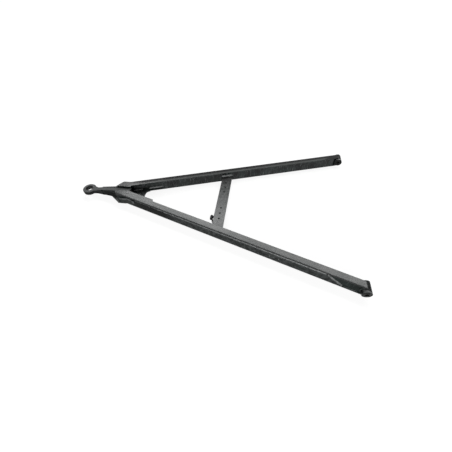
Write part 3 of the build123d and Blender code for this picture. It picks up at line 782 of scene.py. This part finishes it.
def lugWelds():
    # hook lug to the bar's front edge, up its side and across its top
    (lugLow, lugHigh), (barLow, barHigh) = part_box("hook_lug"), barBox
    sideLine = [(barLow[0], lugHigh[1], z) for z in (barLow[2], barHigh[2])]
    weldBead("lug_side_weld", sideLine, (-1, 0, 0), (0, 1, 0), lugBead, hookPaint)
    topLine = [(barLow[0] - lugTopSpec["ahead"], y, barHigh[2]) for y in (lugLow[1], lugHigh[1])]
    weldBead("lug_top_weld", topLine, (1, 0, 0), up, {**lugBead, "size": lugTopSpec["size"]}, hookPaint)


lugWelds()
print("welds laid")

floorSpec = {"reach": 14.0, "middle": (1.0, 0, 0), "colour": "#E6E6E5", "roughness": 0.9, "gloss": 0.1,
             "glow": 0.88, "shadowTint": "#6E6E6E", "shadowFrom": 1.7, "shadowTo": 3.2}


def watchedRays(tree):
    # 1 for a ray from the camera, a gloss or a glass, 0 for the rest: the largest of the three
    rays = addNode(tree, "ShaderNodeLightPath").node
    shiny = addNode(tree, "ShaderNodeMath", most, {
        0: rays.outputs["Is Glossy Ray"], 1: rays.outputs["Is Transmission Ray"]})
    return addNode(tree, "ShaderNodeMath", most, {0: rays.outputs["Is Camera Ray"], 1: shiny})


def paperMaterial(spec):
    # Matte studio paper, white to the eye, that still takes a soft shadow: what the camera sees
    # is a glow plus a little diffuse light, and the glow's strength rises to 1 by a smooth step
    # of the distance from the drawbar's middle.
    material, tree, coords = startMaterial("matteStudioPaper")
    paper = addNode(tree, "ShaderNodeBsdfPrincipled", inputs={
        "Base Color": hexToLinear(spec["colour"]), "Roughness": spec["roughness"],
        "Specular IOR Level": spec["gloss"]})
    centred = addNode(tree, "ShaderNodeVectorMath", minus, {0: coords, 1: spec["middle"]})
    away = addNode(tree, "ShaderNodeVectorMath", length, {0: centred})
    strength = addNode(tree, "ShaderNodeMapRange", smooth, {
        "Value": away, "From Min": spec["shadowFrom"], "From Max": spec["shadowTo"],
        "To Min": spec["glow"]})
    glow = addNode(tree, "ShaderNodeEmission", inputs={"Color": (1, 1, 1, 1), "Strength": strength})
    tint = addNode(tree, "ShaderNodeBsdfDiffuse", inputs={"Color": hexToLinear(spec["shadowTint"])})
    white = addNode(tree, "ShaderNodeAddShader", inputs={0: glow, 1: tint})
    mixed = addNode(tree, "ShaderNodeMixShader", inputs={0: watchedRays(tree), 1: paper, 2: white})
    addNode(tree, "ShaderNodeOutputMaterial", inputs={"Surface": mixed})
    return material


def makeFloor(height):
    # a level square at this height, its four corners at the reach from the origin in x and y
    signs = np.array([(-1, -1), (1, -1), (1, 1), (-1, 1)])
    corners = np.column_stack([signs * floorSpec["reach"], np.full(len(signs), height)])
    mesh = bpy.data.meshes.new("studioFloor")
    mesh.from_pydata(corners.tolist(), [], [(0, 1, 2, 3)])
    mesh.materials.append(paperMaterial(floorSpec))
    floor = bpy.data.objects.new("studioFloor", mesh)
    bpy.context.scene.collection.objects.link(floor)


worldSpec = {"ambient": 0.18}


def makeWorld():
    # the room's soft light for diffuse rays, and plain white for what is seen or mirrored
    world = bpy.data.worlds.new("studioWorld")
    bpy.context.scene.world = world
    world.use_nodes = True
    tree = world.node_tree
    tree.nodes.clear()
    strength = addNode(tree, "ShaderNodeMapRange", inputs={
        "Value": watchedRays(tree), "To Min": worldSpec["ambient"]})
    backdrop = addNode(tree, "ShaderNodeBackground", inputs={"Color": (1, 1, 1, 1), "Strength": strength})
    addNode(tree, "ShaderNodeOutputWorld", inputs={"Surface": backdrop})


# a long strip softbox whose mirror image lies along the near leg's top, a small one whose image
# covers the near half of the cross bar, and one in front, tipped up to light what faces it
lampSpecs = {
    "stripSoftbox": {"place": (1.00, 1.863, 3.0), "size": (6.5, 0.8), "radiance": 9.5,
                     "tip": 0.0, "turn": -legAngle},
    "barSoftbox": {"place": (0.50, 2.44, 3.0), "size": (1.2, 0.6), "radiance": 9.5,
                   "tip": 0.0, "turn": 0.0},
    "frontSoftbox": {"place": (0.90, -3.6, 1.5), "size": (3.6, 1.6), "radiance": 7.0,
                     "tip": math.radians(68), "turn": 0.0},
}


def makeLamp(name, spec):
    # an area lamp of radiance L gives L * pi * its area in watts
    data = bpy.data.lights.new(name, "AREA")
    data.shape = "RECTANGLE"
    data.size, data.size_y = spec["size"]
    data.energy = spec["radiance"] * math.pi * data.size * data.size_y
    lamp = bpy.data.objects.new(name, data)
    bpy.context.scene.collection.objects.link(lamp)
    lamp.location = spec["place"]
    lamp.rotation_euler = (spec["tip"], 0, spec["turn"])
    lamp.visible_camera = False


# placed by matching the leg lines, the bar's holes, the eye and the hinge ends
cameraSpec = {"place": (1.3175, -1.378, 1.3944), "yaw": -9.1, "pitchDown": 50.6, "roll": 1.6,
              "focalPixels": 258.3, "imagePixels": 452, "sensor": 36.0, "clip": (0.05, 60.0)}


def makeCamera():
    # yaw turns the view to the right, pitch tips it down, and roll turns right and down
    # vectors about the view's own axis; the three make the columns of the camera's matrix
    yaw, pitch, roll = (math.radians(cameraSpec[k]) for k in ("yaw", "pitchDown", "roll"))
    level = np.array([math.sin(yaw), math.cos(yaw), 0.0])
    forward = level * math.cos(pitch) - up * math.sin(pitch)
    right = np.array([math.cos(yaw), -math.sin(yaw), 0.0])
    down = np.cross(forward, right)
    rolledRight = math.cos(roll) * right + math.sin(roll) * down
    rolledDown = -math.sin(roll) * right + math.cos(roll) * down
    data = bpy.data.cameras.new("photoCamera")
    data.sensor_width = cameraSpec["sensor"]
    data.lens = cameraSpec["focalPixels"] / cameraSpec["imagePixels"] * cameraSpec["sensor"]
    data.clip_start, data.clip_end = cameraSpec["clip"]
    camera = bpy.data.objects.new("photoCamera", data)
    bpy.context.scene.collection.objects.link(camera)
    matrix = np.eye(4)
    matrix[:3, :3] = np.column_stack([rolledRight, -rolledDown, -forward])
    matrix[:3, 3] = cameraSpec["place"]
    camera.matrix_world = Matrix(matrix.tolist())
    bpy.context.scene.camera = camera


makeFloor(cadBox[0][2])
makeWorld()
for lampName, lampSpec in lampSpecs.items():
    makeLamp(lampName, lampSpec)
makeCamera()
bpy.context.scene.view_settings.view_transform = "Standard"
print("stage set")
